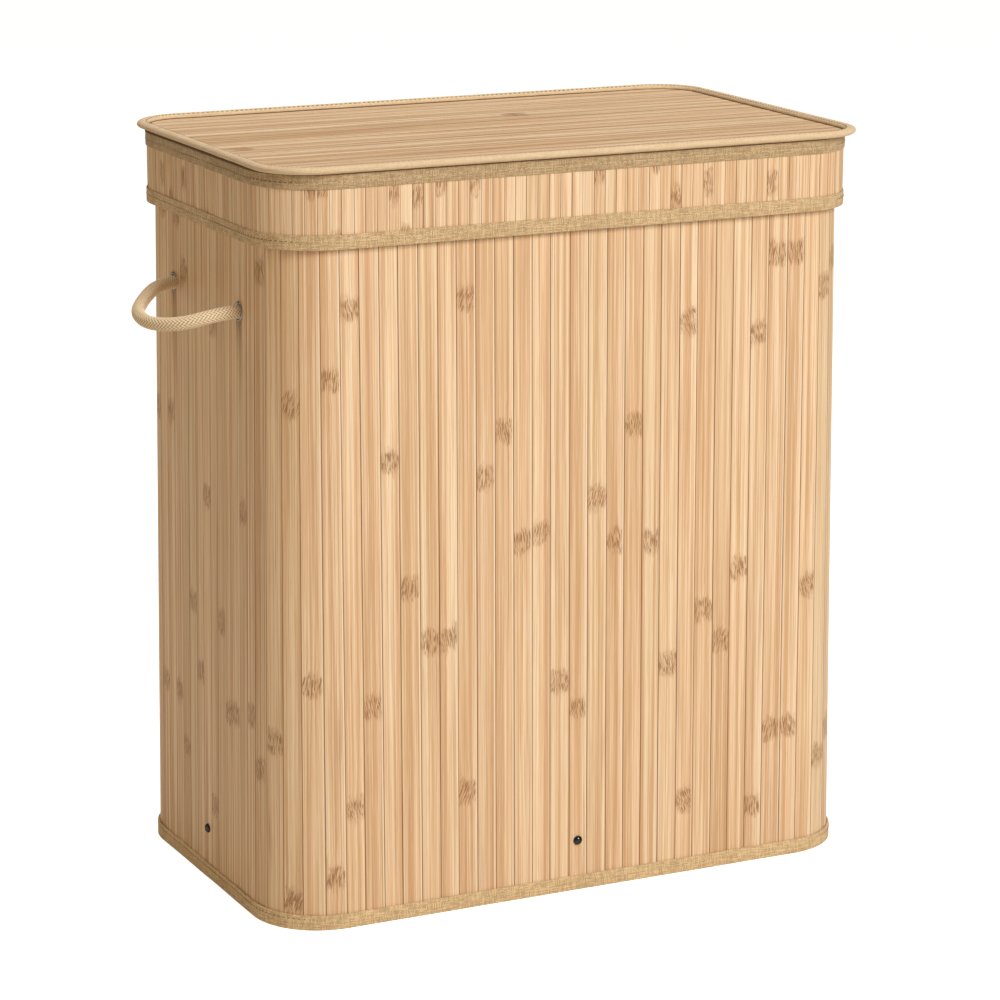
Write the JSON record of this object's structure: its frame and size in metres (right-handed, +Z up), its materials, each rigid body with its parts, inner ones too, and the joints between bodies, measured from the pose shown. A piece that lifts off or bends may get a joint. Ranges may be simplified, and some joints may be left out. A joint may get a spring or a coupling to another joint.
{
  "type": "laundry hamper",
  "caption": "Rounded rectangular slatted laundry hamper with a lift-off skirted lid, a removable cloth liner and rope loop handles at both ends.",
  "frame": {"origin": "middle of the footprint, on the floor under the base binding", "axes": "+Z up, front at -Y, the long side along X with a rope handle at each end"},
  "size_m": [0.6642, 0.334, 0.6242],
  "materials": {
    "bamboo": "planed bamboo slats, clear satin, fine grain along each slat",
    "backing_cloth": "plain non-woven backing cloth",
    "band_cloth": "khaki linen-look plain weave tape, stitched",
    "piping_cloth": "light beige cotton piping",
    "steel": "drawn spring wire and pressed strip",
    "bright_steel": "bright nickel plate",
    "eyelet_metal": "gunmetal plated brass eyelet",
    "rope": "braided cream cotton cord",
    "fibreboard": "plain fibreboard",
    "liner_cloth": "natural unbleached polycotton",
    "webbing": "woven cotton webbing",
    "fastener_tape": "hook-and-loop tape"
  },
  "bodies": {
    "hamper": {"back_seam_tape": "band_cloth", "back_slats": "bamboo", "base_binding": "band_cloth", "base_board": "fibreboard", "base_brackets": "steel", "base_cover": "backing_cloth", "base_nuts": "bright_steel", "base_screws": "bright_steel", "corner_slats": "bamboo", "front_slats": "bamboo", "left_eyelet_washers": "eyelet_metal", "left_eyelets": "eyelet_metal", "left_rope_knots": "rope", "left_slats": "bamboo", "right_eyelet_washers": "eyelet_metal", "right_eyelets": "eyelet_metal", "right_rope_knots": "rope", "right_slats": "bamboo", "top_binding": "band_cloth", "top_hoop": "steel", "wall_backing": "backing_cloth", "wall_tabs": "fastener_tape"},
    "liner": {"liner_bag": "liner_cloth", "liner_handles": "webbing", "liner_hem": "liner_cloth", "liner_tabs": "fastener_tape"},
    "lid": {"lid_backing": "backing_cloth", "lid_hoop": "steel", "lid_lining": "backing_cloth", "lid_piping": "piping_cloth", "lid_slats": "bamboo", "skirt_back_slats": "bamboo", "skirt_backing": "backing_cloth", "skirt_corner_slats": "bamboo", "skirt_front_slats": "bamboo", "skirt_left_slats": "bamboo", "skirt_lower_band": "band_cloth", "skirt_right_slats": "bamboo", "skirt_upper_band": "band_cloth"},
    "left_handle": {"left_handle_rope": "rope"},
    "right_handle": {"right_handle_rope": "rope"}
  },
  "joints": [
    {"name": "liner_lift", "type": "slide", "parent": "hamper", "child": "liner", "axis": [0, 0, 1], "range_m": [0, 0.62]},
    {"name": "lid_lift", "type": "slide", "parent": "liner", "child": "lid", "axis": [0, 0, 1], "range_m": [0, 0.12]},
    {"name": "left_handle_swing", "type": "hinge", "parent": "hamper", "child": "left_handle", "pos_m": [-0.26802, 0, 0.498], "axis": [0, 1, 0], "range_deg": [-55, 65]},
    {"name": "right_handle_swing", "type": "hinge", "parent": "hamper", "child": "right_handle", "pos_m": [0.26802, 0, 0.498], "axis": [0, -1, 0], "range_deg": [-55, 65]}
  ]
}
